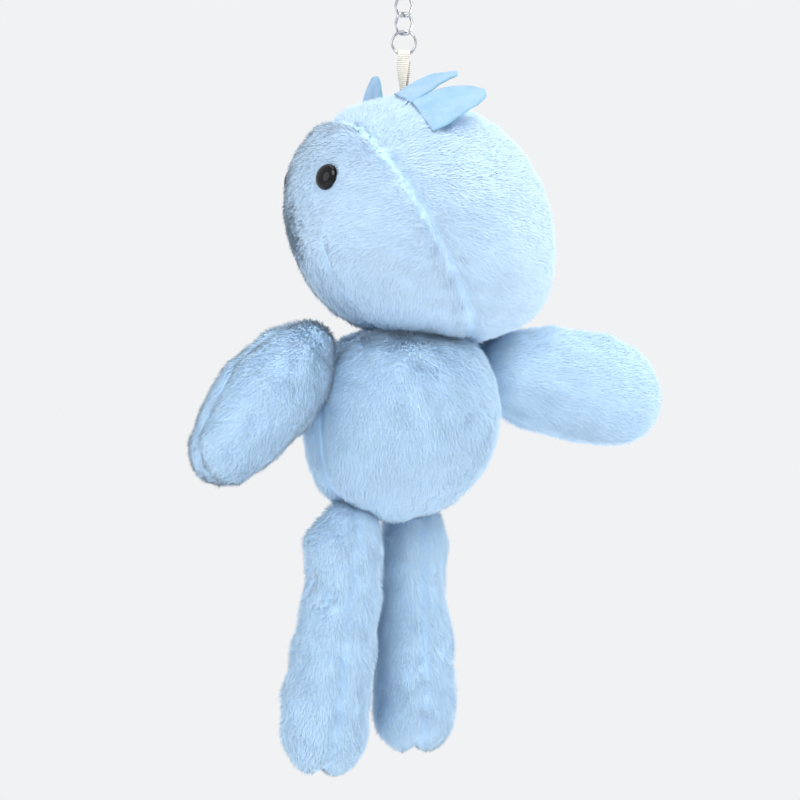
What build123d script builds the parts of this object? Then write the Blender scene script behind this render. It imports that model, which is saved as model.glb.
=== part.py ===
# Plush keychain: a long-limbed stuffed toy that hangs by a ribbon loop from a short chain
# and a split key ring. Millimetres, +Z up, origin at the top inside of the key ring.
# Azimuths are seen from above: 0 points to -Y, and positive ones turn towards +X.
import os
from math import asin, cos, degrees, radians, sin, sqrt
from build123d import *

os.makedirs("parts", exist_ok=True)

# Metal: split ring, connector ring, twisted links, jump ring
keyRingOuter = 25.0
keyRingBand = 1.8            # radial width of the flat wire
keyRingTurn = 0.75           # axial thickness of one turn
keyRingGap = 0.1             # between the two turns
connectorWire = 1.0
connectorRadius = 4.0        # to the wire's centre
connectorHang = 2.4          # from the key ring's band centre down to the connector's centre
linkWire = 0.8
linkHalfWidth = 2.35         # to the wire's centre
linkHalfHeight = 2.925
linkCount = 3
jumpRingRadius = 3.3
wireGap = 0.05               # running clearance between wires
buttGap = 2.0                # degrees left open where a ring's ends meet
keyRingCorner = 0.26         # rounding of the flat wire's edges
stepAngle = 60.0             # degrees round the key ring to where one turn steps to the other
loftSteps = 4                # spans in a lofted piece

# Ribbon and felt
ribbonWidth = 3.5
ribbonThickness = 0.35
ribbonTwist = 65.0
feltThickness = 1.2
leafRoot = 3.0               # sunk below the head's surface before trimming
leafShoulder = (0.36, 0.55)  # share of the width and of the length where the edge bows out

# Plush
skin = 3.0                   # backing and pile together
softGap = 0.4                # between soft bodies
headHalf = (40.35, 42.0, 34.5)
headTilt = 32.2
headOffset = (3.9, 3.0)      # of the head's centre from the hanging line
stuffingGap = 0.05           # between a skin and its stuffing
ribbonDrop = 9.3             # from the jump ring's lower wire to the crown
torsoDrop = 59.4             # from the head's centre to the torso's
torsoShift = -1.1
faceAzimuth = -74.0
neckRoom = 1.5               # under the tilted head, for 20 degrees of turn each way
eyeRadius = 3.75
shankRadius = 1.3
torsoTurn = 32.0             # where the chest faces
torsoRadius = 28.6
torsoTilt = 3.0
armStations = {              # distance down each arm, radius there
    "right": ((0.0, 13.2), (11.0, 15.2), (31.0, 11.3)),
    "left": ((0.0, 13.2), (12.0, 15.4), (26.0, 16.0), (35.5, 14.8)),
}
shoulderHalf = 36.0
hipTurn = 45.0
hipHalf = 12.6
hipShift = -6.3
hipDrop = 27.8               # from the torso's centre to the hips
legRadii = (12.2, 12.9)      # hip end, foot end
legSeamAzimuth = 18.0


def heading(azimuth, rise=0.0):
    """Unit vector along an azimuth, raised by an angle above the horizontal."""
    level = cos(radians(rise))
    return Vector(level * sin(radians(azimuth)), -level * cos(radians(azimuth)), sin(radians(rise)))


# Heights, from the key ring down to the feet
keyRingInner = keyRingOuter / 2 - keyRingBand
keyRingZ = -keyRingInner
bandZ = keyRingZ - keyRingInner - keyRingBand / 2
connectorZ = bandZ - connectorHang
linkPitch = 2 * linkHalfHeight - linkWire - wireGap
firstLinkZ = (connectorZ - connectorRadius + (connectorWire + linkWire) / 2 + wireGap
              - linkHalfHeight)
linkZ = [firstLinkZ - index * linkPitch for index in range(linkCount)]
jumpRingZ = linkZ[-1] - linkHalfHeight + linkWire + wireGap - jumpRingRadius
ribbonTopZ = jumpRingZ - jumpRingRadius

headRise = sqrt((headHalf[0] * sin(radians(headTilt))) ** 2
                + (headHalf[2] * cos(radians(headTilt))) ** 2)
headCentre = Vector(*headOffset, ribbonTopZ - ribbonDrop - headRise)
headPlane = Plane(origin=headCentre, x_dir=(cos(radians(headTilt)), 0, -sin(radians(headTilt))),
                  z_dir=(sin(radians(headTilt)), 0, cos(radians(headTilt))))
torsoCentre = Vector(torsoShift, 0, headCentre.Z - torsoDrop)


def head_height(x, y):
    """Height of the head's upper surface above the point (x, y)."""
    c, s = headPlane.x_dir.X, headPlane.z_dir.X
    across, deep, high = headHalf
    dx, dy = x - headCentre.X, y - headCentre.Y
    a = (s / across) ** 2 + (c / high) ** 2
    b = 2 * dx * c * s * (1 / high ** 2 - 1 / across ** 2)
    k = (dx * c / across) ** 2 + (dx * s / high) ** 2 + (dy / deep) ** 2 - 1
    return headCentre.Z + (-b + sqrt(b * b - 4 * a * k)) / (2 * a)


def head_spot(azimuth, rise):
    """Plane on the head's surface in a direction from its centre, facing outwards."""
    ray = heading(azimuth, rise)
    local = Vector(ray.dot(headPlane.x_dir), ray.dot(headPlane.y_dir), ray.dot(headPlane.z_dir))
    scale_out = 1 / sqrt(sum((value / half) ** 2 for value, half in zip(local, headHalf)))
    slope = Vector(*(value / half ** 2 for value, half in zip(local, headHalf)))
    outward = (headPlane.x_dir * slope.X + headPlane.y_dir * slope.Y + headPlane.z_dir * slope.Z)
    return Plane(origin=headCentre + ray * scale_out, z_dir=outward.normalized())


def ellipsoid(half, place):
    """Solid ellipsoid with its three half sizes along the axes of a plane."""
    with BuildPart() as blank:
        Sphere(1)
        scale(by=tuple(half))
    return place.location * blank.part


def limb(stations, place, grow=0.0):
    """Stuffed limb: balls strung down the plane's -Z and joined by tangent cones.

    Each station is a ball's distance from the plane's origin and its radius."""
    balls = [(-distance, radius + grow) for distance, radius in stations]
    slants = [degrees(asin((lower[1] - upper[1]) / (upper[0] - lower[0])))
              for upper, lower in zip(balls, balls[1:])]
    turns = [90, *slants, -90]
    with BuildPart() as blank:
        with BuildSketch(Plane.XZ):
            with BuildLine():
                for (height, radius), start, stop in zip(balls, turns, turns[1:]):
                    CenterArc((0, height), radius, start, stop - start)
                for slant, upper, lower in zip(slants, balls, balls[1:]):
                    out = Vector(cos(radians(slant)), sin(radians(slant)))
                    Line(Vector(0, upper[0]) + out * upper[1], Vector(0, lower[0]) + out * lower[1])
                Line((0, balls[0][0] + balls[0][1]), (0, balls[-1][0] - balls[-1][1]))
            make_face()
        revolve(axis=Axis.Z)
    return place.location * blank.part


def limb_plane(root, direction, across):
    """Plane at a limb's root whose -Z runs down the limb and whose X lies across it."""
    return Plane(origin=root, x_dir=across, z_dir=-direction)


def save(piece, name):
    """Label one finished piece and write it as a STEP file."""
    piece.part.label = name
    export_step(piece.part, f"parts/{name}.step")


# Split key ring: two flat turns of wire joined by a ramp where one turn steps to the other
turnOffset = (keyRingTurn + keyRingGap) / 2
rampHalf = 14.0


def ring_section(angle, level):
    """Plane that cuts the flat wire at an angle round the ring and a level along its axis."""
    out = Vector(cos(radians(angle)), 0, sin(radians(angle)))
    middle = Vector(0, level, keyRingZ) + out * (keyRingInner + keyRingBand / 2)
    return Plane(origin=middle, x_dir=out, z_dir=(-out.Z, 0, out.X))


with BuildPart() as key_ring:
    for level in (-turnOffset, turnOffset):
        start = stepAngle + (rampHalf if level < 0 else -rampHalf)
        sense = 1 if level < 0 else -1
        with BuildSketch(ring_section(start, level)):
            RectangleRounded(keyRingBand, keyRingTurn, keyRingCorner)
        revolve(axis=Axis((0, 0, keyRingZ), (0, -sense, 0)),
                revolution_arc=360 - 2 * rampHalf - buttGap)
    for step in range(loftSteps + 1):
        share = step / loftSteps
        with BuildSketch(ring_section(stepAngle + rampHalf * (1 - 2 * share),
                                      turnOffset * (2 * share - 1))):
            RectangleRounded(keyRingBand, keyRingTurn, keyRingCorner)
    loft()
save(key_ring, "key_ring")


# Connector ring, edge on to the split ring, with its cut ends butted together
with BuildPart() as connector_ring:
    with BuildSketch(Plane.XZ):
        with Locations((0, connectorZ + connectorRadius)):
            Circle(connectorWire / 2)
    revolve(axis=Axis((0, 0, connectorZ), (1, 0, 0)), revolution_arc=360 - buttGap)
save(connector_ring, "connector_ring")


# Twisted links: each end of the wire lies across the link at 45 degrees, turned the other way
# at the other end, so neighbouring ends cross at right angles while every link lies flat
linkCorner = 1.45
linkBend = 1.1
for index, z in enumerate(linkZ, start=1):
    corners = [(0, 0, z + linkHalfHeight),
               (linkCorner, linkCorner, z + linkHalfHeight),
               (linkHalfWidth, 0, z),
               (linkCorner, -linkCorner, z - linkHalfHeight),
               (0, 0, z - linkHalfHeight)]
    with BuildPart() as chain_link:
        for sense in (1, -1):
            turned = [(sense * x, sense * y, height) for x, y, height in corners]
            with BuildLine():
                centreLine = FilletPolyline(*turned, radius=linkBend)
            with BuildSketch(Plane(origin=centreLine @ 0, z_dir=centreLine % 0)):
                Circle(linkWire / 2)
            sweep(path=centreLine)
    save(chain_link, f"chain_link_{index}")


# Jump ring that carries the ribbon, face on
with BuildPart() as jump_ring:
    with BuildSketch(Plane(origin=(0, 0, jumpRingZ), x_dir=heading(90, 40), z_dir=heading(90, -50))):
        with Locations((jumpRingRadius, 0)):
            Circle(linkWire / 2)
    revolve(axis=Axis((0, 0, jumpRingZ), (0, 1, 0)), revolution_arc=360 - buttGap)
save(jump_ring, "jump_ring")


# Ribbon: folded over the jump ring's lower wire, its two layers turning together as they
# run down into the seam across the crown
crestAzimuth = 90.0 - ribbonTwist
foldRadius = 1.06            # clears the ring where its wire curves up beside the middle
foldStraight = 1.6
layerGap = 0.1               # between the two layers at the crown
ribbonRoot = 1.5             # sunk below the crown before trimming
crownZ = head_height(0, 0)
with BuildPart() as ribbon_loop:
    with BuildSketch(Plane.YZ.offset(-ribbonWidth / 2)):
        with BuildLine():
            for reach in (foldRadius, foldRadius + ribbonThickness):
                arch = CenterArc((0, ribbonTopZ), reach, 0, 180)
                Line(arch @ 0, arch @ 0 - Vector(0, foldStraight))
                Line(arch @ 1, arch @ 1 - Vector(0, foldStraight))
            for side in (-1, 1):
                Line((side * foldRadius, ribbonTopZ - foldStraight),
                     (side * (foldRadius + ribbonThickness), ribbonTopZ - foldStraight))
        make_face()
    extrude(amount=ribbonWidth)
    for side in (-1, 1):
        for step in range(loftSteps + 1):
            share = step / loftSteps
            spread = foldRadius * (1 - share) + (layerGap + ribbonThickness) / 2
            turn = -ribbonTwist * share
            level = (ribbonTopZ - foldStraight) * (1 - share) + (crownZ - ribbonRoot) * share
            along = Vector(cos(radians(turn)), sin(radians(turn)), 0)
            out = Vector(-along.Y, along.X, 0) * side
            with BuildSketch(Plane(origin=Vector(0, 0, level) + out * spread, x_dir=along)):
                Rectangle(ribbonWidth, ribbonThickness)
        loft()
    add(ellipsoid(headHalf, headPlane), mode=Mode.SUBTRACT)
save(ribbon_loop, "ribbon_loop")


# Felt leaves: pointed tufts along the seam across the crown, from the far side to the near one
crest = heading(crestAzimuth)
crestShift = -5.4            # of the seam across the crown from the head's centre
crown = Vector(headCentre.X + crestShift, headCentre.Y, 0)
leaves = {
    "leaf_far": (-17.0, 12.0, 7.5, Vector(-0.5, 4.0, 7.0)),
    "leaf_middle": (11.0, 11.0, 13.5, Vector(11.5, 6.6, 7.6)),
    "leaf_near": (24.6, 16.0, 15.0, Vector(12.6, 3.9, 7.0)),
}                            # place along the seam, width, length, lean
for name, (along, width, length, lean) in leaves.items():
    foot = crown + crest * along
    root = Vector(foot.X, foot.Y, head_height(foot.X, foot.Y))
    ahead = foot + crest
    seam = Vector(ahead.X, ahead.Y, head_height(ahead.X, ahead.Y)) - root
    upright = lean - seam.normalized() * lean.dot(seam.normalized())
    leafPlane = Plane(origin=root, x_dir=seam, z_dir=seam.cross(upright))
    with BuildPart() as leaf:
        with BuildSketch(leafPlane.offset(-feltThickness / 2)):
            with BuildLine():
                for side in (-1, 1):
                    bow = (side * width * leafShoulder[0], length * leafShoulder[1])
                    ThreePointArc((side * width / 2, 0), bow, (0, length))
                    Line((side * width / 2, 0), (side * width / 2, -leafRoot))
                Line((-width / 2, -leafRoot), (width / 2, -leafRoot))
            make_face()
        extrude(amount=feltThickness)
        add(ellipsoid(headHalf, headPlane), mode=Mode.SUBTRACT)
    save(leaf, name)


# Head: face panel and back panel joined by the seam that runs over the forehead and under
# the jaw, round one mass of stuffing
headOuter = ellipsoid(headHalf, headPlane)
headInner = ellipsoid([half - skin for half in headHalf], headPlane)
faceSeam = Plane(origin=headCentre + Vector(-5.3, -1.4, -3.2), z_dir=(0.838, 0.208, 0.505))
eyeSide = 31.7               # degrees from the face's middle
eyeRise = 15.8
eyes = {
    "left": head_spot(faceAzimuth + eyeSide, eyeRise),
    "right": head_spot(faceAzimuth - eyeSide, eyeRise),
}
eyeSink = 1.6                # of the dome's flat back under the pile's surface
domeHeight = 2.8
shankLength = 5.0
washerRadius = 4.2
washerThickness = 1.0


def eye_solid(place):
    """Domed eye with its shank, facing out of the plane it stands on."""
    with BuildPart() as blank:
        with BuildSketch(Plane.XZ):
            with BuildLine():
                dome = Spline((eyeRadius, -eyeSink), (0, domeHeight - eyeSink),
                              tangents=[(0, 1), (-1, 0)])
                Polyline(dome @ 1, (0, -eyeSink - shankLength),
                         (shankRadius, -eyeSink - shankLength), (shankRadius, -eyeSink),
                         dome @ 0)
            make_face()
        revolve(axis=Axis.Z)
    return place.location * blank.part


with BuildPart() as head_face_panel:
    add(headOuter - headInner)
    split(bisect_by=faceSeam, keep=Keep.BOTTOM)
    for place in eyes.values():
        add(eye_solid(place), mode=Mode.SUBTRACT)
save(head_face_panel, "head_face_panel")

with BuildPart() as head_back_panel:
    add(headOuter - headInner)
    split(bisect_by=faceSeam, keep=Keep.TOP)
save(head_back_panel, "head_back_panel")

washerDepth = skin + 0.6
stuffingReach = 26.0         # from the head's centre, clear of the shanks and washers
facing = heading(faceAzimuth, eyeRise)
with BuildPart() as head_stuffing:
    add(ellipsoid([half - skin - stuffingGap for half in headHalf], headPlane))
    split(bisect_by=Plane(origin=headCentre + facing * stuffingReach, z_dir=facing),
          keep=Keep.BOTTOM)
save(head_stuffing, "head_stuffing")

for side, place in eyes.items():
    with BuildPart() as eye:
        add(eye_solid(place))
    save(eye, f"eye_{side}")
    with BuildPart() as washer:
        with BuildSketch(place.offset(-washerDepth - washerThickness)):
            Circle(washerRadius)
            Circle(shankRadius, mode=Mode.SUBTRACT)
        extrude(amount=washerThickness)
    save(washer, f"eye_washer_{side}")


# Limb places, worked out from the torso's and the hips' own directions
toSide = heading(torsoTurn - 90)
torsoUp = Vector(sin(radians(torsoTilt)), 0, cos(radians(torsoTilt)))
torsoPlane = Plane(origin=torsoCentre, x_dir=toSide, z_dir=torsoUp)
hipLine = heading(hipTurn - 90)
hipCentre = Vector(hipShift, 0, torsoCentre.Z - hipDrop)
shoulderRise = {"right": 17.1, "left": 15.9}
armPitch = {"right": 47.5, "left": 11.2}     # below the horizontal
armDrop = {"right": (0, 8), "left": (0, 10, 20)}   # degrees below rest that the chest clears
arms = {}
for side, sense in (("right", 1), ("left", -1)):
    shoulder = torsoCentre + toSide * (sense * shoulderHalf) + Vector(0, 0, shoulderRise[side])
    outward = torsoTurn - 90 * sense
    arms[side] = limb_plane(shoulder, heading(outward, -armPitch[side]),
                            heading(outward, 90 - armPitch[side]))
footDrop = {"right": 85.6, "left": 79.3}     # from the torso's centre to the foot's
hipLift = 0.5                # of the left hip, on the side that the toy leans from
legs = {                     # hip, foot, distance between the ball ends
    "right": (hipCentre + hipLine * hipHalf,
              Vector(-22.1, -8.0, torsoCentre.Z - footDrop["right"]), 57.7),
    "left": (hipCentre - hipLine * hipHalf + Vector(0, 0, hipLift),
             Vector(2.9, 8.5, torsoCentre.Z - footDrop["left"]), 51.8),
}
legPlanes = {
    side: limb_plane(root, (foot - root).normalized(), heading(legSeamAzimuth + 90))
    for side, (root, foot, reach) in legs.items()
}
legStations = {side: ((0.0, legRadii[0]), (reach, legRadii[1]))
               for side, (root, foot, reach) in legs.items()}


# Torso: a pear-shaped skin in two panels over one mass of stuffing, dished where the head
# rests on it and hollowed where each limb's ball end is sewn in
shoulderPoint = (21.8, 23.8)  # out from the torso's axis and up from its centre
collarPoint = (13.0, 28.6)
torsoTop = 30.2
hipPoint = (25.65, -10.97)
torsoBottom = -25.8
with BuildPart() as torsoBlank:
    with BuildSketch(Plane.XZ):
        with BuildLine():
            flank = TangentArc((torsoRadius, 0), shoulderPoint, tangent=(0, 1))
            collar = ThreePointArc(flank @ 1, collarPoint, (0, torsoTop))
            hip = TangentArc((torsoRadius, 0), hipPoint, tangent=(0, -1))
            seat = TangentArc((0, torsoBottom), hip @ 1, tangent=(1, 0))
            Line(collar @ 1, seat @ 0)
        make_face()
    revolve(axis=Axis.Z)
torsoOuter = torsoPlane.location * torsoBlank.part
torsoInner = torsoPlane.location * scale(torsoBlank.part, by=1 - skin / torsoRadius)
torsoFill = torsoPlane.location * scale(torsoBlank.part,
                                        by=1 - (skin + stuffingGap) / torsoRadius)
chestSeam = Plane(origin=torsoCentre, z_dir=heading(torsoTurn))


def hollow_torso():
    """Cut the head's sweep and the limbs' ball ends out of the torso piece being built."""
    add(ellipsoid([half + neckRoom for half in headHalf], headPlane), mode=Mode.SUBTRACT)
    for side, place in arms.items():
        room = limb(armStations[side], place, grow=softGap)
        sense = 1 if side == "right" else -1
        hinge = Axis(place.origin, heading(torsoTurn) * sense)
        for drop in armDrop[side]:
            add(room.rotate(hinge, drop), mode=Mode.SUBTRACT)
    with Locations(*(place.origin for place in legPlanes.values())):
        Sphere(legRadii[0] + softGap, mode=Mode.SUBTRACT)


with BuildPart() as torso_front_panel:
    add(torsoOuter - torsoInner)
    split(bisect_by=chestSeam, keep=Keep.TOP)
    hollow_torso()
save(torso_front_panel, "torso_front_panel")

with BuildPart() as torso_back_panel:
    add(torsoOuter - torsoInner)
    split(bisect_by=chestSeam, keep=Keep.BOTTOM)
    hollow_torso()
save(torso_back_panel, "torso_back_panel")

with BuildPart() as torso_stuffing:
    add(torsoFill)
    hollow_torso()
save(torso_stuffing, "torso_stuffing")


def save_limb(name, stations, place, seam):
    """Write a limb as two skin panels that meet at a plane, and the stuffing inside them."""
    inner = limb(stations, place, grow=-skin)
    for panel, keep in (("front_panel", Keep.TOP), ("back_panel", Keep.BOTTOM)):
        with BuildPart() as piece:
            add(limb(stations, place) - inner)
            split(bisect_by=seam, keep=keep)
        save(piece, f"{name}_{panel}")
    with BuildPart() as piece:
        add(limb(stations, place, grow=-skin - stuffingGap))
    save(piece, f"{name}_stuffing")


# Arms: seamed along the upper and lower edges
for side, place in arms.items():
    save_limb(f"arm_{side}", armStations[side], place,
              Plane(origin=place.origin, z_dir=heading(torsoTurn)))

# Legs: seamed down the front and the back, with the toe tucked into the seam
for side, place in legPlanes.items():
    save_limb(f"leg_{side}", legStations[side], place,
              Plane(origin=place.origin, z_dir=place.x_dir))
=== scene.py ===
import bpy
import numpy as np
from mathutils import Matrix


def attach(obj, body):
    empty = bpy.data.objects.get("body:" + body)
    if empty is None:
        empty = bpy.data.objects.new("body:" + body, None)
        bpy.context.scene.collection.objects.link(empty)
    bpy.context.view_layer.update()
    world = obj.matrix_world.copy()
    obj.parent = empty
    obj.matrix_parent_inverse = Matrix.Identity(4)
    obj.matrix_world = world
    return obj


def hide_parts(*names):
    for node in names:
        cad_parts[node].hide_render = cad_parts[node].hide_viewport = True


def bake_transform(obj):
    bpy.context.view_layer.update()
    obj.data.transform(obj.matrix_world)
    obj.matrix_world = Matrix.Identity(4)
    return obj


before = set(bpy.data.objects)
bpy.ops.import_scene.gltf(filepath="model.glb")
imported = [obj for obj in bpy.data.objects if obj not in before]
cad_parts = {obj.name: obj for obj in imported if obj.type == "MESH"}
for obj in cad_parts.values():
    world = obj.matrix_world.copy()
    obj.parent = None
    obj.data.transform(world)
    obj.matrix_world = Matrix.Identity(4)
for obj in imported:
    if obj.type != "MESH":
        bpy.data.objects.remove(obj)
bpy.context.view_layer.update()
print("frame loaded:", len(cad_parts), "nodes")

mm = 0.001


def unit(vectors):
    # each vector divided by its own length
    vectors = np.asarray(vectors, float)
    return vectors / np.maximum(np.linalg.norm(vectors, axis=-1, keepdims=True), 1e-9)


def heading(azimuth, rise=0.0):
    # unit vector: sine and minus cosine of the azimuth, both times the cosine of the rise, then its sine
    a, r = np.radians(azimuth), np.radians(rise)
    return np.array([np.cos(r) * np.sin(a), -np.cos(r) * np.cos(a), np.sin(r)])


def bell(distance, width):
    # 1 at no distance, falling off as e to the minus squared distance over width
    return np.exp(-(distance / width) ** 2)


def ease(value, low, high):
    # 0 below low, 1 above high, and a smooth cubic step between
    t = np.clip((value - low) / (high - low), 0, 1)
    return t * t * (3 - 2 * t)


def ripple(points, wavelength, seed, waves=9):
    # smooth noise from -1 to 1: a mean of sine waves that run in random directions at about one wavelength
    rng = np.random.default_rng(seed)
    ways = unit(rng.normal(size=(waves, 3))) * (2 * np.pi / wavelength)
    ways *= rng.uniform(0.7, 1.4, (waves, 1))
    phases = rng.uniform(0, 2 * np.pi, waves)
    return np.sin(points @ ways.T + phases).mean(-1) * 1.6


def linear(hexColour):
    # sRGB to linear: a dark channel is divided by 12.92, any other is shifted, scaled and raised to 2.4
    value = np.array([int(hexColour[i:i + 2], 16) for i in (1, 3, 5)]) / 255
    return (*np.where(value <= 0.04045, value / 12.92, ((value + 0.055) / 1.055) ** 2.4), 1.0)


def addNode(material, kind, inputs=None, stops=(), **settings):
    # one node with its settings; an input given a socket is linked, and one given a value holds it
    node = material.node_tree.nodes.new(kind)
    for name, value in settings.items():
        setattr(node, name, value)
    for name, value in (inputs or {}).items():
        if isinstance(value, bpy.types.NodeSocket):
            material.node_tree.links.new(value, node.inputs[name])
        else:
            node.inputs[name].default_value = value
    if stops:
        spots = node.color_ramp.elements
        chosen = [spots[0], *[spots.new(place) for place, _ in stops[1:-1]], spots[-1]]
        for spot, (place, colour) in zip(chosen, stops):
            spot.position, spot.color = place, linear(colour)
    return node


def startMaterial(name):
    # an empty node material
    material = bpy.data.materials.new(name)
    material.use_nodes = True
    material.node_tree.nodes.clear()
    return material


def finishMaterial(material, shader):
    # wires the shader to the output
    addNode(material, "ShaderNodeOutputMaterial", {"Surface": shader.outputs[0]})
    return material


plushLook = {
    # down in the pile, half way up and at the tips; the darker colours lower down are painted shade
    "head": ("#aed5fb", "#c3e1fd", "#d0eaff"), "body": ("#a6d1fb", "#bbdefd", "#cae7fe"),
    "blotch": 14.0, "fleck": 1.1, "fibre": 0.22,                   # mm
    "sheen": 0.12,
}


def plushPile(name, part):
    # Polyester plush, knitted with a 3 mm cut pile and brushed: matt, pale at the tips, with painted shade
    # deepening the colour down between the locks, and broad soft patches where the pile lies another way.
    look = plushLook
    shadedRoot, middle, tip = look[part]
    m = startMaterial(name)
    place = addNode(m, "ShaderNodeTexCoord").outputs["Object"]
    pileShadeAndTone = addNode(m, "ShaderNodeAttribute", attribute_name="pileShadeAndTone")
    parts = addNode(m, "ShaderNodeSeparateXYZ", {"Vector": pileShadeAndTone.outputs["Vector"]})
    blotch = addNode(m, "ShaderNodeTexNoise",
                     {"Vector": place, "Scale": 1 / (look["blotch"] * mm), "Detail": 2.0})
    fleck = addNode(m, "ShaderNodeTexNoise",
                    {"Vector": place, "Scale": 1 / (look["fleck"] * mm), "Detail": 3.0})
    fibre = addNode(m, "ShaderNodeTexNoise",
                    {"Vector": place, "Scale": 1 / (look["fibre"] * mm), "Detail": 2.0})
    # height in the pile plus a random tone for each lock; low down it darkens the colour as painted shade
    height = addNode(m, "ShaderNodeMath", {0: parts.outputs["X"], 1: parts.outputs["Y"]},
                     operation="ADD")
    mottled = addNode(m, "ShaderNodeMath", {0: fleck.outputs["Fac"], 1: 0.5, 2: height.outputs[0]},
                      operation="MULTIPLY_ADD")
    lowered = addNode(m, "ShaderNodeMath", {0: mottled.outputs[0], 1: 0.25}, operation="SUBTRACT")
    colour = addNode(m, "ShaderNodeValToRGB", {"Fac": lowered.outputs[0]},
                     stops=[(0.0, shadedRoot), (0.45, middle), (1.0, tip)])
    tone = addNode(m, "ShaderNodeMapRange",
                   {"Value": blotch.outputs["Fac"], "From Min": 0.3, "From Max": 0.7,
                    "To Min": 0.96, "To Max": 1.04})
    hue = addNode(m, "ShaderNodeHueSaturation",
                  {"Color": colour.outputs[0], "Value": tone.outputs[0]})
    rough = addNode(m, "ShaderNodeMapRange",
                    {"Value": fleck.outputs["Fac"], "To Min": 0.78, "To Max": 0.98})
    bump = addNode(m, "ShaderNodeBump",
                   {"Height": fibre.outputs["Fac"], "Strength": 0.35, "Distance": 0.15 * mm})
    shader = addNode(m, "ShaderNodeBsdfPrincipled",
                     {"Base Color": hue.outputs[0], "Roughness": rough.outputs[0],
                      "Normal": bump.outputs[0], "Sheen Weight": look["sheen"],
                      "Sheen Roughness": 0.45, "Specular IOR Level": 0.2})
    return finishMaterial(m, shader)


feltLook = {"face": "#98bad8", "deep": "#84a9cc", "edge": "#76a4b6", "fuzz": 0.5, "cloud": 5.0}


def pressedFelt():
    # Pressed polyester felt, cut with a die: matt, with matted fibres and a darker, greener cut edge.
    look = feltLook
    m = startMaterial("pressedFelt")
    place = addNode(m, "ShaderNodeTexCoord").outputs["Object"]
    edge = addNode(m, "ShaderNodeAttribute", attribute_name="edge")
    cloud = addNode(m, "ShaderNodeTexNoise",
                    {"Vector": place, "Scale": 1 / (look["cloud"] * mm), "Detail": 3.0})
    fuzz = addNode(m, "ShaderNodeTexNoise",
                   {"Vector": place, "Scale": 1 / (look["fuzz"] * mm), "Detail": 5.0,
                    "Distortion": 1.5})
    mixed = addNode(m, "ShaderNodeMath",
                    {0: cloud.outputs["Fac"], 1: fuzz.outputs["Fac"]}, operation="MULTIPLY")
    face = addNode(m, "ShaderNodeValToRGB", {"Fac": mixed.outputs[0]},
                   stops=[(0.12, look["deep"]), (0.42, look["face"])])
    rim = addNode(m, "ShaderNodeMix",
                  {0: edge.outputs["Fac"], 6: face.outputs[0], 7: linear(look["edge"])},
                  data_type="RGBA")
    rough = addNode(m, "ShaderNodeMapRange",
                    {"Value": fuzz.outputs["Fac"], "To Min": 0.8, "To Max": 1.0})
    bump = addNode(m, "ShaderNodeBump",
                   {"Height": fuzz.outputs["Fac"], "Strength": 0.5, "Distance": 0.2 * mm})
    shader = addNode(m, "ShaderNodeBsdfPrincipled",
                     {"Base Color": rim.outputs[2], "Roughness": rough.outputs[0],
                      "Normal": bump.outputs[0], "Sheen Weight": 0.3,
                      "Specular IOR Level": 0.2})
    return finishMaterial(m, shader)


ribbonLook = {"light": "#dedad1", "shade": "#b5ad9e", "rib": 0.55}   # rib in mm


def wovenRibbon():
    # Cream polyester grosgrain, woven with ribs across its width: faint lines of painted shade between the
    # ribs and a soft gloss.
    look = ribbonLook
    m = startMaterial("wovenRibbon")
    place = addNode(m, "ShaderNodeUVMap", uv_map="weave").outputs[0]
    parts = addNode(m, "ShaderNodeSeparateXYZ", {"Vector": place})
    turns = addNode(m, "ShaderNodeMath",
                    {0: parts.outputs["Y"], 1: 2 * np.pi / look["rib"]}, operation="MULTIPLY")
    rib = addNode(m, "ShaderNodeMath", {0: turns.outputs[0]}, operation="SINE")
    thread = addNode(m, "ShaderNodeTexNoise", {"Vector": place, "Scale": 4.0, "Detail": 3.0})
    mixed = addNode(m, "ShaderNodeMath", {0: rib.outputs[0], 1: 0.3, 2: thread.outputs["Fac"]},
                    operation="MULTIPLY_ADD")
    # the rib's wave sets the colour: painted shade in the grooves between the ribs, lighter on their
    # crests
    colour = addNode(m, "ShaderNodeValToRGB", {"Fac": mixed.outputs[0]},
                     stops=[(0.15, look["shade"]), (0.6, look["light"])])
    rough = addNode(m, "ShaderNodeMapRange",
                    {"Value": thread.outputs["Fac"], "To Min": 0.5, "To Max": 0.75})
    bump = addNode(m, "ShaderNodeBump",
                   {"Height": rib.outputs[0], "Strength": 0.6, "Distance": 0.06 * mm})
    shader = addNode(m, "ShaderNodeBsdfPrincipled",
                     {"Base Color": colour.outputs[0], "Roughness": rough.outputs[0],
                      "Normal": bump.outputs[0], "Sheen Weight": 0.2})
    return finishMaterial(m, shader)


def polishedNickel():
    # Steel wire, drawn, bent and nickel plated: bright, with fine wiping marks and duller patches.
    m = startMaterial("polishedNickel")
    place = addNode(m, "ShaderNodeTexCoord").outputs["Object"]
    patch = addNode(m, "ShaderNodeTexNoise", {"Vector": place, "Scale": 400.0, "Detail": 3.0})
    marks = addNode(m, "ShaderNodeTexNoise",
                    {"Vector": place, "Scale": 4000.0, "Detail": 4.0, "Distortion": 2.0})
    colour = addNode(m, "ShaderNodeValToRGB", {"Fac": patch.outputs["Fac"]},
                     stops=[(0.3, "#9fa1a6"), (0.7, "#c6c8cc")])
    rough = addNode(m, "ShaderNodeMapRange",
                    {"Value": patch.outputs["Fac"], "To Min": 0.08, "To Max": 0.22})
    bump = addNode(m, "ShaderNodeBump",
                   {"Height": marks.outputs["Fac"], "Strength": 0.12, "Distance": 0.01 * mm})
    shader = addNode(m, "ShaderNodeBsdfPrincipled",
                     {"Base Color": colour.outputs[0], "Roughness": rough.outputs[0],
                      "Normal": bump.outputs[0], "Metallic": 1.0})
    return finishMaterial(m, shader)


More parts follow.
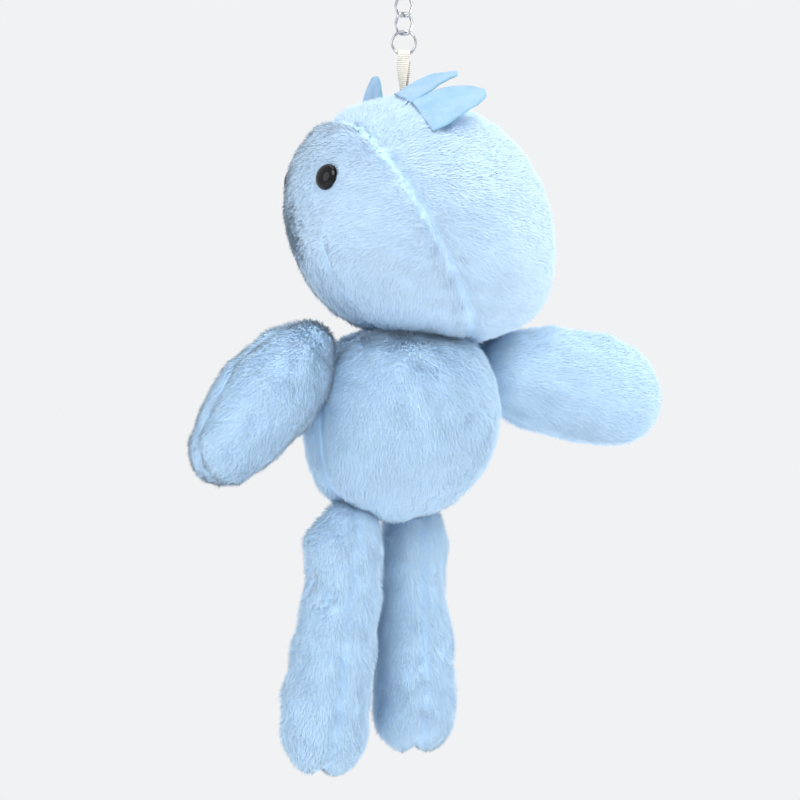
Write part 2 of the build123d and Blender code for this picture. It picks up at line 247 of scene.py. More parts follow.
def eyeGloss(name, deep, light, gloss):
    # Moulded plastic, tumbled to a gloss: a slight orange-peel surface and faint haze.
    m = startMaterial(name)
    place = addNode(m, "ShaderNodeTexCoord").outputs["Object"]
    haze = addNode(m, "ShaderNodeTexNoise", {"Vector": place, "Scale": 700.0, "Detail": 3.0})
    colour = addNode(m, "ShaderNodeValToRGB", {"Fac": haze.outputs["Fac"]},
                     stops=[(0.3, deep), (0.75, light)])
    rough = addNode(m, "ShaderNodeMapRange",
                    {"Value": haze.outputs["Fac"], "To Min": gloss, "To Max": gloss + 0.12})
    bump = addNode(m, "ShaderNodeBump",
                   {"Height": haze.outputs["Fac"], "Strength": 0.06, "Distance": 0.03 * mm})
    shader = addNode(m, "ShaderNodeBsdfPrincipled",
                     {"Base Color": colour.outputs[0], "Roughness": rough.outputs[0],
                      "Normal": bump.outputs[0], "Specular IOR Level": 0.25})
    return finishMaterial(m, shader)


headPlush = plushPile("brushedPolyesterPlushPale", "head")
bodyPlush = plushPile("brushedPolyesterPlush", "body")
felt = pressedFelt()
ribbonWeave = wovenRibbon()
nickel = polishedNickel()
blackEye = eyeGloss("blackEyePlastic", "#050609", "#0c0d11", 0.05)
whitePlastic = eyeGloss("whitePlastic", "#dcdcd8", "#efefec", 0.4)
print("materials ready")


def putMesh(name, points, faces, material, normals=None, uv=None, attributes=None, smooth=True):
    # triangles into a mesh object at the origin, in metres; uv is one place for each vertex
    mesh = bpy.data.meshes.new(name)
    mesh.vertices.add(len(points))
    mesh.vertices.foreach_set("co", (np.asarray(points) * mm).astype(np.float32).ravel())
    mesh.loops.add(faces.size)
    mesh.loops.foreach_set("vertex_index", faces.astype(np.int32).ravel())
    mesh.polygons.add(len(faces))
    mesh.polygons.foreach_set("loop_start", np.arange(0, faces.size, 3, dtype=np.int32))
    mesh.polygons.foreach_set("use_smooth", np.full(len(faces), smooth))
    for label, place in (uv or {}).items():
        layer = mesh.uv_layers.new(name=label)
        layer.uv.foreach_set("vector", place[faces.ravel()].astype(np.float32).ravel())
    for label, values in (attributes or {}).items():
        kind = "FLOAT_VECTOR" if values.ndim == 2 else "FLOAT"
        made = mesh.attributes.new(label, kind, "POINT")
        made.data.foreach_set("vector" if values.ndim == 2 else "value",
                              values.astype(np.float32).ravel())
    mesh.update(calc_edges=True)
    if normals is not None:
        mesh.normals_split_custom_set_from_vertices(normals.astype(np.float32))
    mesh.materials.append(material)
    piece = bpy.data.objects.new(name, mesh)
    bpy.context.scene.collection.objects.link(piece)
    return piece


def gridNormals(points):
    # outward normals of a closed grid: the cross product of its steps along the columns and down the
    # rows, taken at each pole from the mean of the row beside it, and turned to point away from the middle
    round_ = np.roll(points, -1, 1) - np.roll(points, 1, 1)
    down = np.gradient(points, axis=0)
    normals = unit(np.cross(round_, down))
    normals[0] = unit(normals[1].mean(0))
    normals[-1] = unit(normals[-2].mean(0))
    middle = points.mean((0, 1))
    sense = np.sign((normals * (points - middle)).sum(-1).mean())
    return normals * sense, sense


def closedSkin(points, sense):
    # vertices and triangles of a grid whose first and last rows are each drawn together into one pole
    rows, columns = points.shape[:2]
    inner = points[1:-1].reshape(-1, 3)
    vertices = np.vstack([points[0, :1], inner, points[-1, :1]])
    here = np.arange((rows - 2) * columns).reshape(rows - 2, columns) + 1
    beside = np.roll(here, -1, 1)
    quads = np.stack([here[:-1], here[1:], beside[1:], beside[:-1]], -1).reshape(-1, 4)
    last = len(vertices) - 1
    fans = [np.stack([np.zeros_like(here[0]), here[0], beside[0]], -1),
            np.stack([np.full_like(here[0], last), beside[-1], here[-1]], -1)]
    faces = np.vstack([quads[:, [0, 1, 2]], quads[:, [0, 2, 3]], *fans])
    return vertices, faces if sense < 0 else faces[:, ::-1]


def between(grid, v, u):
    # the value at a place between grid points: its four neighbours, weighted by nearness; u wraps round
    rows, columns = grid.shape[:2]
    row = np.clip(np.floor(v).astype(int), 0, rows - 2)
    column = np.floor(u).astype(int) % columns
    beside = (column + 1) % columns
    a, b = (v - row), (u - np.floor(u))
    if grid.ndim == 3:
        a, b = a[:, None], b[:, None]
    return ((grid[row, column] * (1 - b) + grid[row, beside] * b) * (1 - a)
            + (grid[row + 1, column] * (1 - b) + grid[row + 1, beside] * b) * a)


pileLook = {
    "spacing": 0.38,       # mm between locks
    "halfWidth": 0.23,     # of a lock at its root
    "length": 1.9,
    "lean": 60.0,          # degrees from upright
    "stray": 0.12,          # how far locks turn from their neighbours
    "skinStep": 3,         # grid steps to one step of the backing beneath
}


def plushPiece(name, points, comb, shortness, keep, material, seed):
    # A stuffed piece: a closed backing, and over it one closed three-sided lock of pile at each root.
    # Roots fall evenly by area. A lock's tip is its root, plus its length along the normal turned
    # towards the comb direction by the lean; its three lower corners stand round the root.
    look = pileLook
    rng = np.random.default_rng(seed)
    normals, sense = gridNormals(points)
    beside = np.roll(points, -1, 1)
    area = (np.linalg.norm(np.cross(beside[:-1] - points[:-1], points[1:] - points[:-1]), axis=-1)
            + np.linalg.norm(np.cross(beside[1:] - beside[:-1], points[1:] - beside[1:]), axis=-1)) / 2
    total = np.cumsum(area.ravel())
    count = int(total[-1] / look["spacing"] ** 2)
    order = np.arange(count)
    cell = np.searchsorted(total, (order + 0.5) / count * total[-1])
    v = cell // points.shape[1] + (order * 0.7548776662 + 0.5) % 1
    u = cell % points.shape[1] + (order * 0.5698402910 + 0.5) % 1
    root = between(points, v, u)
    kept = keep(root)
    root, v, u = root[kept], v[kept], u[kept]
    count = len(root)
    normal = unit(between(normals, v, u))
    way = between(comb(points), v, u)
    way = way + 0.15 * np.stack([ripple(root, 9.0, seed + k) for k in range(3)], -1)
    way += look["stray"] * rng.normal(size=(count, 3))
    way = unit(way - (way * normal).sum(-1, keepdims=True) * normal)
    across = np.cross(normal, way)
    short = between(shortness, v, u)
    length = look["length"] * short * (1 + 0.22 * rng.normal(size=count).clip(-1.5, 1.5))
    length *= 1 + 0.12 * ripple(root, 5.0, seed + 7)
    lean = np.radians(look["lean"] + 12 * ripple(root, 7.0, seed + 8) + 7 * rng.normal(size=count))
    lean = lean[:, None]
    rise = normal * np.cos(lean) + way * np.sin(lean)
    half = look["halfWidth"] * rng.uniform(0.8, 1.25, (count, 1))
    low = root - normal * 0.45
    corners = np.stack([low + across * half, low - way * half, low - across * half,
                        root + rise * length[:, None]], 1)
    stray = 0.12 * rng.normal(size=(count, 3))
    shading = np.stack([unit(normal + 0.12 * across), unit(normal - 0.1 * way),
                        unit(normal - 0.12 * across), unit(normal + 0.15 * way + stray)], 1)
    first = np.arange(count)[:, None] * 4
    locks = np.concatenate([first + [0, 1, 3], first + [1, 2, 3], first + [2, 0, 3],
                            first + [0, 2, 1]])
    side = int(np.ceil(np.sqrt(count)))
    box = np.stack([np.arange(count) % side, np.arange(count) // side], -1)[:, None] + 0.5
    spread = np.array([[-0.42, -0.42], [0.0, -0.3], [0.42, -0.42], [0.0, 0.44]])
    lockUv = (box + spread) / side * [1, 0.94] + [0, 0.06]
    tone = rng.normal(size=(count, 1)).clip(-2, 2) * 0.05
    # first value: 0.25 at a lock's lower corners and 0.95 at its tip, darkening the colour down in the
    # pile as painted shade; second: a random tone for each lock
    pileShadeAndTone = np.zeros((count, 4, 3))
    pileShadeAndTone[:, :, 0] = [0.25, 0.25, 0.25, 0.95]
    pileShadeAndTone[:, :, 1] = tone
    step = look["skinStep"]
    picked = np.unique(np.append(np.arange(0, len(points), step), len(points) - 1))
    skin, faces = closedSkin(points[picked][:, ::step], sense)
    skinNormals, _ = closedSkin(normals[picked][:, ::step], sense)
    skinUv = np.stack([np.linspace(0.01, 0.99, len(skin)), np.full(len(skin), 0.03)], -1)
    skinUv[::2, 1] = 0.012
    # the backing beneath takes a low value too: painted shade under the pile
    backingShade = np.zeros((len(skin), 3)) + [0.3, 0, 0]
    print(f"{name}: {count} locks, {len(faces) + len(locks)} triangles")
    return putMesh(
        name, np.vstack([skin, corners.reshape(-1, 3)]), np.vstack([faces, locks + len(skin)]),
        material, normals=np.vstack([unit(skinNormals), shading.reshape(-1, 3)]),
        uv={"OFBake": np.vstack([skinUv, lockUv.reshape(-1, 2)])},
        attributes={"pileShadeAndTone": np.vstack([backingShade, pileShadeAndTone.reshape(-1, 3)])})


headShape = {
    "centre": (3.9, 3.0, -94.907),
    "half": (40.35, 42.0, 34.5),      # along its long axis, deep, and high, to the tips of the pile
    "tilt": 32.2,                     # of the long axis, down towards +X
    "pileDepth": 1.9,                 # from the tips down to the backing
    "rows": 150, "columns": 280,
    "seamFrom": (-5.3, -1.4, -3.2), "seamNormal": (0.838, 0.208, 0.505),
    "seamDepth": 0.85, "seamWidth": 1.8,
    # direction from the centre, width and height of each low swell
    "swells": (((0.72, -0.1, -0.68), 0.5, 3.6), ((-0.66, -0.15, -0.74), 0.38, 2.4),
               ((-0.5, -0.2, 0.84), 0.5, -2.4)),
    "face": -74.0, "eyeSide": 31.7, "eyeRise": 15.8,
    "dart": 26.0,                     # degrees from the face's middle to each dart under an eye
    "crest": 25.0, "crownOffset": -5.4,
}
headCentre = np.array(headShape["centre"])
tilt = np.radians(headShape["tilt"])
headAxes = np.array([[np.cos(tilt), 0, -np.sin(tilt)], [0, 1, 0], [np.sin(tilt), 0, np.cos(tilt)]])
headHalf = np.array(headShape["half"])
faceNormal = unit(headShape["seamNormal"])
crestWay = heading(headShape["crest"])


def headSpot(direction, sunk=0.0):
    # where a ray from the head's centre meets its ellipsoid, and the outward normal there
    local = headAxes @ direction
    reach = 1 / np.sqrt(((local / headHalf) ** 2).sum())
    normal = unit((local * reach / headHalf ** 2) @ headAxes)
    return headCentre + direction * reach - normal * sunk, normal


def headHeight(x, y):
    # height of the head's upper surface over a point, from the ellipsoid's quadratic in z
    matrix = headAxes.T @ np.diag(1 / headHalf ** 2) @ headAxes
    d = np.array([x - headCentre[0], y - headCentre[1], 0])
    a, b, c = matrix[2, 2], 2 * (matrix @ d)[2], d @ matrix @ d - 1
    return headCentre[2] + (-b + np.sqrt(b * b - 4 * a * c)) / (2 * a)


eyeSpots = {side: headSpot(heading(headShape["face"] + turn * headShape["eyeSide"],
                                   headShape["eyeRise"]))
            for side, turn in (("left", 1), ("right", -1))}
crown = headCentre + [headShape["crownOffset"], 0, 0]


def headSeams(points):
    # signed distance from the face seam, and plain distances from the darts and the crest seam,
    # the last two large where the seam has ended
    relative = points - headCentre
    face = (relative - np.array(headShape["seamFrom"])) @ faceNormal
    darts = np.full(face.shape, 99.0)
    for turn in (1, -1):
        azimuth = headShape["face"] + turn * headShape["dart"]
        off = np.abs(relative @ heading(azimuth + 90 * turn))
        off = off + 99 * (1 - ease(relative @ heading(azimuth), 0, 5))
        off = off + 40 * ease(relative[..., 2], -7, 1) + 30 * ease(face, -3, 1)
        darts = np.minimum(darts, off)
    along = (points - crown) @ crestWay
    crest = np.abs((points - crown) @ heading(headShape["crest"] + 90))
    crest = crest + 30 * ease(np.abs(along - 3), 27, 31) + 99 * (relative[..., 2] < 0)
    return face, darts, crest


def headGrid():
    # ellipsoid: sines and cosines of a turn round its short axis and of an angle down from its top;
    # then each seam pulls the surface in by a bell of its distance, with a low swell beside it
    s = headShape
    v = np.linspace(0, np.pi, s["rows"])[:, None]
    u = np.linspace(0, 2 * np.pi, s["columns"], endpoint=False)[None, :]
    ball = np.stack([np.sin(v) * np.cos(u), np.sin(v) * np.sin(u), np.cos(v) + 0 * u], -1)
    outward = unit((ball / headHalf) @ headAxes)
    points = headCentre + (ball * headHalf) @ headAxes - outward * s["pileDepth"]
    face, darts, crest = headSeams(points)
    inset = s["seamDepth"] * bell(face, s["seamWidth"]) - 0.5 * bell(face + 4.5, 3.0)
    inset += 0.8 * bell(darts, 1.8) + 0.7 * bell(crest, 1.6)
    for spot, normal in eyeSpots.values():
        inset += 0.9 * bell(np.linalg.norm(points - spot, axis=-1), 6.0)
    inset += 0.35 * ripple(points, 22.0, 3)
    for way, width, height in s["swells"]:
        inset -= height * bell(np.linalg.norm(outward - unit(way), axis=-1), width)
    points = points - outward * inset[..., None]
    pucker = 0.3 * bell(face, 5.0) * ripple(points, 6.0, 5)
    return points + outward * pucker[..., None]


def headComb(points):
    # pile on the face lies towards its middle and a little down, turning down low on the head; behind
    # the seam it lies back and down; beside a seam it parts
    face, darts, crest = headSeams(points)
    forward = heading(headShape["face"])
    low = ease(-(points[..., 2] - headCentre[2]), 2, 26)[..., None]
    front = forward * (1 - 0.75 * low) + np.array([0.0, -0.2, -0.35]) + low * np.array([0.1, 0, -0.9])
    back = np.array([0.75, 0.45, -0.48])
    share = ease(face, -1, 1)[..., None]
    way = front * (1 - share) + back * share
    way = way + faceNormal * (np.sign(face) * bell(face, 2.5) * 0.1)[..., None]
    return way


def clearOfEyes(points):
    # keeps the roots that stand outside both eyes
    away = [np.linalg.norm(points - spot, axis=-1) for spot, _ in eyeSpots.values()]
    return np.minimum(*away) > 3.0


headPoints = headGrid()
headSeamsHere = headSeams(headPoints)
headShort = (1 - 0.1 * bell(headSeamsHere[0], 1.6) - 0.2 * bell(headSeamsHere[1], 1.6)
             - 0.2 * bell(headSeamsHere[2], 1.6))
for spot, _ in eyeSpots.values():
    headShort *= 1 - 0.45 * bell(np.linalg.norm(headPoints - spot, axis=-1), 6.0)
headPiece = plushPiece("head_plush", headPoints, headComb, headShort, clearOfEyes, headPlush, 11)
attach(headPiece, "head")
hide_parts("head_face_panel", "head_back_panel", "head_stuffing")
print("head done")


eyeShape = {"radius": 3.75, "sink": 1.9, "height": 2.3, "rings": 40, "columns": 64}


def eyeDome(side):
    # a domed button: half an ellipse turned round the eye's axis, closed by a shallow cone behind
    s = eyeShape
    spot, out = eyeSpots[side]
    a = unit(np.cross(out, [0, 0, 1]))
    b = np.cross(out, a)
    turn = np.linspace(0, np.pi, s["rings"])[:, None]
    u = np.linspace(0, 2 * np.pi, s["columns"], endpoint=False)[None, :]
    radius = s["radius"] * np.sin(turn) ** 0.9
    high = np.where(turn < np.pi / 2, s["height"] * np.cos(turn), 1.0 * np.cos(turn)) - s["sink"]
    points = (spot + (radius * np.cos(u))[..., None] * a + (radius * np.sin(u))[..., None] * b
              + (high + 0 * u)[..., None] * out)
    _, sense = gridNormals(points)
    skin, faces = closedSkin(points, sense)
    piece = putMesh(f"eye_dome_{side}", skin, faces, blackEye)
    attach(piece, "head")
    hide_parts(f"eye_{side}")


for side in eyeSpots:
    eyeDome(side)
print("eyes done")


leafShape = {"thickness": 1.2, "sunk": 4.5, "rows": 60, "columns": 56}
leafPlaces = {          # along the crest, width, length, bluntness, lean, backward bend, cupping
    "far": (-17.0, 12.5, 7.5, 2.4, (-0.5, 4.0, 7.0), 0.2, 0.4),
    "middle": (11.0, 11.5, 13.5, 1.4, (11.5, 6.6, 7.6), 0.8, 1.2),
    "near": (24.6, 16.5, 15.0, 1.5, (12.6, 3.9, 7.0), 0.8, 1.3),
}


def leafHalf(t, width, blunt):
    # half width of a leaf at a height t from 0 to 1: the root of what a power of the height leaves of 1
    return width / 2 * np.sqrt(1 - np.clip(t, 0, 1) ** blunt)


def leafPiece(name, along, width, length, blunt, lean, bend, cup):
    # the cut's outline carries a thin rounded section up its middle line, which bends back as the
    # square of the height, while the section cups as the square of the distance across
    s = leafShape
    foot = crown + crestWay * along
    ahead = foot + crestWay
    root = np.array([foot[0], foot[1], headHeight(foot[0], foot[1])])
    seam = unit(np.array([ahead[0], ahead[1], headHeight(ahead[0], ahead[1])]) - root)
    upright = unit(np.array(lean) - seam * (np.array(lean) @ seam))
    through = np.cross(seam, upright)
    level = np.linspace(-s["sunk"] / length, 1, s["rows"])[:, None]
    level = np.where(level < 0, level, 1 - (1 - level) ** 1.6)
    u = np.linspace(0, 2 * np.pi, s["columns"], endpoint=False)[None, :]
    half = leafHalf(level, width, blunt)
    half[0] = half[-1] = 0
    thick = s["thickness"] / 2 * np.clip(half * 2, 0, 1)
    across = half * np.cos(u)
    deep = thick * np.sign(np.sin(u)) * np.abs(np.sin(u)) ** 0.6
    rise = level * length + 0 * u
    curl = cup * (across / (width / 2)) ** 2 * ease(level, -0.1, 0.6) - bend * np.clip(level, 0, 1) ** 2
    points = (root + across[..., None] * seam + rise[..., None] * upright
              + (deep + curl)[..., None] * through)
    points = points + through * (0.25 * ripple(points, 5.0, 31))[..., None]
    _, sense = gridNormals(points)
    skin, faces = closedSkin(points, sense)
    rim = bell((1 - np.abs(np.cos(u))) * half, 0.5) * (level > -0.5)
    rim = np.concatenate([rim[0, :1], rim[1:-1].ravel(), rim[-1, :1]])
    piece = putMesh(f"leaf_{name}_felt", skin, faces, felt, attributes={"edge": rim * 0.8})
    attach(piece, "head")
    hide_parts(f"leaf_{name}")


for name, place in leafPlaces.items():
    leafPiece(name, *place)
print("leaves done")


ribbonShape = {"width": 3.5, "thickness": 0.35, "twist": 65.0, "top": -49.35, "fold": 1.06,
               "straight": 1.6, "sunk": 3.0, "stations": 150, "columns": 20}


def ribbonPiece():
    # one strip that climbs from the crown, goes over the jump ring in a half turn and comes down its
    # other side; its width turns by the twist from the ring to the crown, and a flat rounded section
    # follows it
    s = ribbonShape
    middle = s["fold"] + s["thickness"] / 2
    bottom = headHeight(0.0, 0.0) - s["sunk"]
    down = np.linspace(1, 0, 55)[:, None]
    arc = np.linspace(0, np.pi, 42)[1:-1, None]
    spread = (s["fold"] - 0.25) * (1 - down) ** 1.3 + 0.05 + s["thickness"] / 2
    turn = np.radians(-s["twist"] * ease(down, -0.3, 0.85))
    along = np.hstack([np.cos(turn), np.sin(turn), 0 * turn])
    out = np.hstack([-along[:, 1:2], along[:, :1], 0 * turn])
    height = s["top"] - s["straight"] + (bottom - s["top"] + s["straight"]) * down
    legs = [out * spread * side + np.hstack([0 * down, 0 * down, height]) for side in (-1, 1)]
    drop = np.linspace(0, 1, 10)[1:-1, None]
    low = (s["fold"] - 0.25) + 0.05 + s["thickness"] / 2
    rise = [np.hstack([0 * drop, side * (low + (middle - low) * ease(drop, 0, 1)),
                       s["top"] - s["straight"] * (1 - drop)]) for side in (-1, 1)]
    over = np.hstack([0 * arc, -middle * np.cos(arc), s["top"] + middle * np.sin(arc)])
    centre = np.vstack([legs[0], rise[0], over, rise[1][::-1], legs[1][::-1]])
    flat = np.tile([1.0, 0, 0], (len(centre) - 2 * len(along), 1))
    wide = np.vstack([along, flat, along[::-1]])
    ahead = unit(np.gradient(centre, axis=0))
    face = unit(np.cross(ahead, wide))
    u = np.linspace(0, 2 * np.pi, s["columns"], endpoint=False)[None, :]
    sideways = s["width"] / 2 * np.sign(np.cos(u)) * np.abs(np.cos(u)) ** 0.5
    thick = s["thickness"] / 2 * np.sign(np.sin(u)) * np.abs(np.sin(u)) ** 0.5
    ends = np.ones((len(centre), 1))
    ends[0] = ends[-1] = 0
    points = (centre[:, None] + (sideways * ends)[..., None] * wide[:, None]
              + (thick * ends)[..., None] * face[:, None])
    length = np.concatenate([[0], np.cumsum(np.linalg.norm(np.diff(centre, axis=0), axis=1))])
    _, sense = gridNormals(points)
    skin, faces = closedSkin(points, sense)
    weave = np.stack([sideways + 0 * length[:, None], length[:, None] + 0 * sideways], -1)
    weave = np.vstack([weave[0, :1], weave[1:-1].reshape(-1, 2), weave[-1, :1]])
    piece = putMesh("ribbon_strip", skin, faces, ribbonWeave, uv={"weave": weave})
    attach(piece, "head")
    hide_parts("ribbon_loop")


ribbonPiece()
print("ribbon done")


torsoShape = {
    "centre": (-1.1, 0.0, -154.307), "turn": 32.0, "tilt": 3.0, "pileDepth": 1.9,
    "rows": 110, "columns": 210,
    "outline": ((-90, 25.8), (-70, 26.0), (-45, 26.8), (-23, 27.9), (0, 28.6), (25, 30.4),
                (47.5, 32.3), (65.6, 31.4), (78, 30.6), (90, 30.2)),   # degrees up, reach in mm
    "seamDepth": 1.3, "seamWidth": 1.6,
    "lumps": (((-23.0, -12.0, -172.0), 9.0, 2.6), ((-7.0, -14.0, -180.0), 11.0, 2.4)),
}
torsoCentre = np.array(torsoShape["centre"])
chest = heading(torsoShape["turn"])
torsoUp = np.array([np.sin(np.radians(torsoShape["tilt"])), 0, np.cos(np.radians(torsoShape["tilt"]))])
torsoSide = heading(torsoShape["turn"] - 90)


def torsoGrid():
    # a pear turned round the torso's axis: the reach at each angle up, from the outline's points and
    # smoothed; a seam down each flank pulls it in, and the belly is a little fuller than the back
    s = torsoShape
    up = np.linspace(90, -90, s["rows"])
    fine = np.linspace(90, -90, 721)
    degreesUp, reach = np.array(s["outline"]).T
    table = np.interp(fine, degreesUp, reach)
    smooth = np.convolve(np.pad(table, 30, mode="edge"), np.ones(61) / 61, "valid")
    radius = np.interp(up, fine[::-1], smooth[::-1])[:, None] - s["pileDepth"]
    rise = np.radians(up)[:, None]
    u = np.linspace(0, 2 * np.pi, s["columns"], endpoint=False)[None, :]
    level = np.cos(u)[..., None] * chest + np.sin(u)[..., None] * torsoSide
    outward = np.cos(rise)[..., None] * level + np.sin(rise)[..., None] * torsoUp
    points = torsoCentre + outward * radius[..., None]
    flank = (points - torsoCentre) @ chest
    inset = s["seamDepth"] * bell(flank, s["seamWidth"]) - 0.4 * bell(np.abs(flank) - 5, 3.5)
    inset += 0.4 * ripple(points, 16.0, 21)
    for centre, width, height in s["lumps"]:
        inset -= height * bell(np.linalg.norm(points - np.array(centre), axis=-1), width)
    return points - outward * inset[..., None]


def torsoComb(points):
    # pile lies down the body and parts from the flank seams
    flank = (points - torsoCentre) @ chest
    return np.array([0.0, 0, -1.0]) + chest * (np.sign(flank) * bell(flank, 3.0) * 0.2)[..., None]


torsoPoints = torsoGrid()
torsoShort = 1 - 0.35 * bell((torsoPoints - torsoCentre) @ chest, 1.8)
torsoPiece = plushPiece("torso_plush", torsoPoints, torsoComb, torsoShort,
                        lambda roots: roots[:, 2] < -126, bodyPlush, 22)
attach(torsoPiece, "torso")
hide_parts("torso_front_panel", "torso_back_panel", "torso_stuffing")
print("torso done")


def limbGrid(shape, root, direction, front):
    # a limb: the envelope of balls strung down its axis, each radius between those of its stations; at
    # a distance down the axis the reach is the largest of the balls' half chords there. The rows are
    # spaced by the cosine, so that both ends round off.
    stations = np.array(shape["stations"])
    depth = shape["pileDepth"]
    start = stations[0, 0] - stations[0, 1] + depth
    stop = stations[-1, 0] + stations[-1, 1] - depth
    turn = np.linspace(0, np.pi, shape["rows"])
    s = (start + stop) / 2 - (stop - start) / 2 * np.cos(turn)
    balls = np.linspace(stations[0, 0], stations[-1, 0], 160)
    radii = np.interp(balls, stations[:, 0], stations[:, 1]) - depth
    reach = np.sqrt(np.clip(radii ** 2 - (s[:, None] - balls) ** 2, 0, None).max(1))
    reach[0] = reach[-1] = 0
    front = unit(front - direction * (front @ direction))
    side = np.cross(direction, front)
    u = np.linspace(0, 2 * np.pi, shape["columns"], endpoint=False)[None, :]
    outward = np.cos(u)[..., None] * front + np.sin(u)[..., None] * side
    points = root + s[:, None, None] * direction + reach[:, None, None] * outward
    return points, s[:, None] + 0 * u, u + 0 * s[:, None], front, side


armLumps = {
    "right": (((-54.0, -33.0, -142.0), 11.0, 1.4),),
    "left": (((46.0, 29.5, -122.0), 12.0, 2.6), ((60.0, 38.0, -128.0), 10.0, 2.4)),
}
armShape = {
    "pileDepth": 1.9,
    "rows": 90, "columns": 120, "seamDepth": 0.9, "seamWidth": 1.7,
    "half": 36.0,                                     # from the torso's axis to each shoulder
    "right": {"turn": -58.0, "pitch": 47.5, "rise": 17.1, "seed": 33,
              "stations": ((-8.0, 9.0), (0.0, 13.2), (11.0, 15.2), (31.0, 11.3))},
    "left": {"turn": 122.0, "pitch": 11.2, "rise": 15.9, "seed": 44,
             "stations": ((0.0, 13.2), (12.0, 15.4), (26.0, 16.0), (35.5, 14.8))},
}
legShape = {
    "pileDepth": 1.9, "rows": 110, "columns": 110, "seamDepth": 0.9, "seamWidth": 1.7, "seam": 18.0,
    "radii": ((0.0, 9.4), (6.0, 11.4), (20.0, 12.3)), "ankle": 12.9, "hipLine": -45.0, "hipHalf": 12.6,
    "hips": (-6.3, 0.0, -182.107),
    "right": {"foot": (-22.1, -8.0, -239.907), "reach": 57.7, "lift": 0.0, "seed": 55},
    "left": {"foot": (2.9, 8.5, -233.607), "reach": 51.8, "lift": 0.5, "seed": 66},
}


def stuffedLimb(name, shape, grid, root, direction, seamFacing, lumps, seed, body):
    # a limb with a seam on two opposite sides: the seam pulls the surface in by a bell of its distance,
    # ends pucker, and lumps add or take a bell each; the pile lies down the limb and parts at the seam
    points, s, u, front, side = grid
    aside = unit(np.cross(direction, seamFacing))
    offset = (points - root) @ aside
    outward = unit(points - root - ((points - root) @ direction)[..., None] * direction + 1e-6)
    inset = shape["seamDepth"] * bell(offset, shape["seamWidth"])
    inset -= 0.35 * bell(np.abs(offset) - 4.5, 3.0)
    inset += 0.45 * ripple(points, 13.0, seed + 1) + 0.25 * bell(offset, 5) * ripple(points, 5.0, seed + 2)
    for centre, width, height in lumps:
        inset -= height * bell(np.linalg.norm(points - np.array(centre), axis=-1), width)
    endFade = ease(np.sin(np.linspace(0, np.pi, len(points))), 0.0, 0.2)[:, None]
    points = points - outward * (inset * endFade)[..., None]
    tip = s.max()
    points = points + direction * (-1.6 * bell(offset, 2.5) * ease(s, tip - 5, tip))[..., None]

    def comb(_):
        parted = np.sign(offset) * bell(offset, 2.5) * 0.2
        return direction + aside * parted[..., None] + 0.15 * front

    short = 1 - 0.2 * bell(offset, 1.6)
    piece = plushPiece(name, points, comb, short, lambda roots: np.ones(len(roots), bool),
                       bodyPlush, seed)
    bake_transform(piece)
    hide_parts(f"{body}_front_panel", f"{body}_back_panel", f"{body}_stuffing")


for side, sense in (("right", 1), ("left", -1)):
    own = armShape[side]
    shoulder = torsoCentre + torsoSide * sense * armShape["half"] + np.array([0, 0, own["rise"]])
    direction = heading(own["turn"], -own["pitch"])
    upper = unit(np.array([0, 0, 1.0]) - direction * direction[2])
    grid = limbGrid({**armShape, "stations": own["stations"]}, shoulder, direction, chest)
    stuffedLimb(f"arm_{side}_plush", armShape, grid, shoulder, direction, upper, armLumps[side],
                own["seed"], f"arm_{side}")
print("arms done")

hipWay = heading(legShape["hipLine"])
legLumps = {
    "right": (((-26.5, -14.0, -184.5), 6.5, 4.0), ((-28.0, -13.0, -196.0), 3.0, -3.2),
              ((-22.0, -19.0, -201.0), 3.2, -3.0), ((-17.0, -21.0, -205.0), 3.0, -1.6),
              ((-10.0, -20.0, -196.0), 7.0, -1.2),
              ((-34.0, -9.0, -226.0), 14.0, 1.8)),
    "left": (((6.0, -2.0, -196.0), 9.0, -1.2), ((14.0, 8.0, -199.0), 9.0, -2.2)),
}
for side, sense in (("right", 1), ("left", -1)):
    own = legShape[side]
    hip = np.array(legShape["hips"]) + hipWay * sense * legShape["hipHalf"] + [0, 0, own["lift"]]
    direction = unit(np.array(own["foot"]) - hip)
    shape = {**legShape, "stations": (*legShape["radii"], (own["reach"], legShape["ankle"]))}
    seamFacing = heading(legShape["seam"])
    grid = limbGrid(shape, hip, direction, seamFacing)
    stuffedLimb(f"leg_{side}_plush", shape, grid, hip, direction,
                unit(seamFacing - direction * (seamFacing @ direction)), legLumps[side],
                own["seed"], f"leg_{side}")
print("legs done")


for name in ("key_ring", "connector_ring", "chain_link_1", "chain_link_2", "chain_link_3", "jump_ring"):
    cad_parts[name].data.materials.clear()
    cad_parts[name].data.materials.append(nickel)
for name in ("eye_washer_left", "eye_washer_right"):
    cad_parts[name].data.materials.clear()
    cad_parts[name].data.materials.append(whitePlastic)


stageLook = {"floor": -450.0, "radius": 3.0, "pale": "#fefefe", "fleck": "#fafafb"}


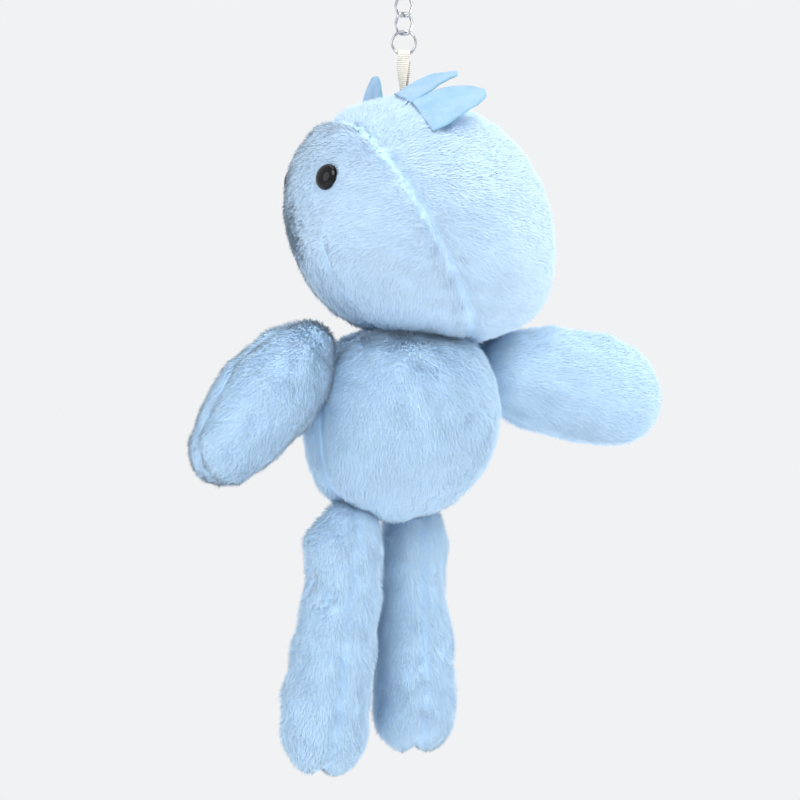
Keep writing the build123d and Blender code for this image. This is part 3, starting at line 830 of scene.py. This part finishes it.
def studioFloor():
    # a round floor of matt paper: a fan of rings, far enough out to meet the sky's own tone
    m = startMaterial("mattPaper")
    place = addNode(m, "ShaderNodeTexCoord").outputs["Object"]
    grain = addNode(m, "ShaderNodeTexNoise", {"Vector": place, "Scale": 40.0, "Detail": 4.0})
    colour = addNode(m, "ShaderNodeValToRGB", {"Fac": grain.outputs["Fac"]},
                     stops=[(0.3, stageLook["fleck"]), (0.7, stageLook["pale"])])
    shader = addNode(m, "ShaderNodeBsdfPrincipled",
                     {"Base Color": colour.outputs[0], "Roughness": 0.9})
    finishMaterial(m, shader)
    u = np.linspace(0, 2 * np.pi, 96, endpoint=False)
    rim = np.stack([np.cos(u), np.sin(u), 0 * u], -1) * stageLook["radius"] / mm
    points = np.vstack([[[0, 0, 0]], rim]) + [0, 0, stageLook["floor"]]
    order = np.arange(96)
    faces = np.stack([0 * order, order + 1, (order + 1) % 96 + 1], -1)
    floor = putMesh("floor", points, faces, m, smooth=False)


studioFloor()

world = bpy.data.worlds.new("studio")
bpy.context.scene.world = world
world.use_nodes = True
world.node_tree.nodes["Background"].inputs["Color"].default_value = linear("#f1f2f4")
world.node_tree.nodes["Background"].inputs["Strength"].default_value = 1.0

studioLights = {       # place in metres, size in metres, watts
    "key": ((0.3, -0.65, 0.6), 0.7, 6.6),
    "fill": ((-0.8, -0.6, 0.2), 0.9, 3.6),
    "top": ((0.15, 0.15, 0.75), 0.6, 1.2),
    "side": ((0.9, 0.25, 0.05), 0.9, 3.4),
}
aim = np.array([0.0, 0.0, -0.14])
for name, (place, size, watts) in studioLights.items():
    light = bpy.data.lights.new(name, "AREA")
    light.shape, light.size, light.energy = "DISK", size, watts
    lamp = bpy.data.objects.new(name, light)
    lamp.location = place
    away = unit(np.array(place) - aim)
    lamp.rotation_euler = (np.arccos(away[2]), 0, np.arctan2(away[0], -away[1]))
    bpy.context.scene.collection.objects.link(lamp)

cameraView = {"distance": 2.5, "frameWidth": 0.224, "centre": (-0.00112, -0.146)}
camera = bpy.data.cameras.new("camera")
camera.sensor_width = 36.0
camera.lens = 36.0 * cameraView["distance"] / cameraView["frameWidth"]
camera.clip_end = 20.0
eye = bpy.data.objects.new("camera", camera)
eye.location = (cameraView["centre"][0], -cameraView["distance"], cameraView["centre"][1])
eye.rotation_euler = (np.pi / 2, 0, 0)
bpy.context.scene.collection.objects.link(eye)
bpy.context.scene.camera = eye
bpy.context.scene.view_settings.view_transform = "Standard"
print("stage done")
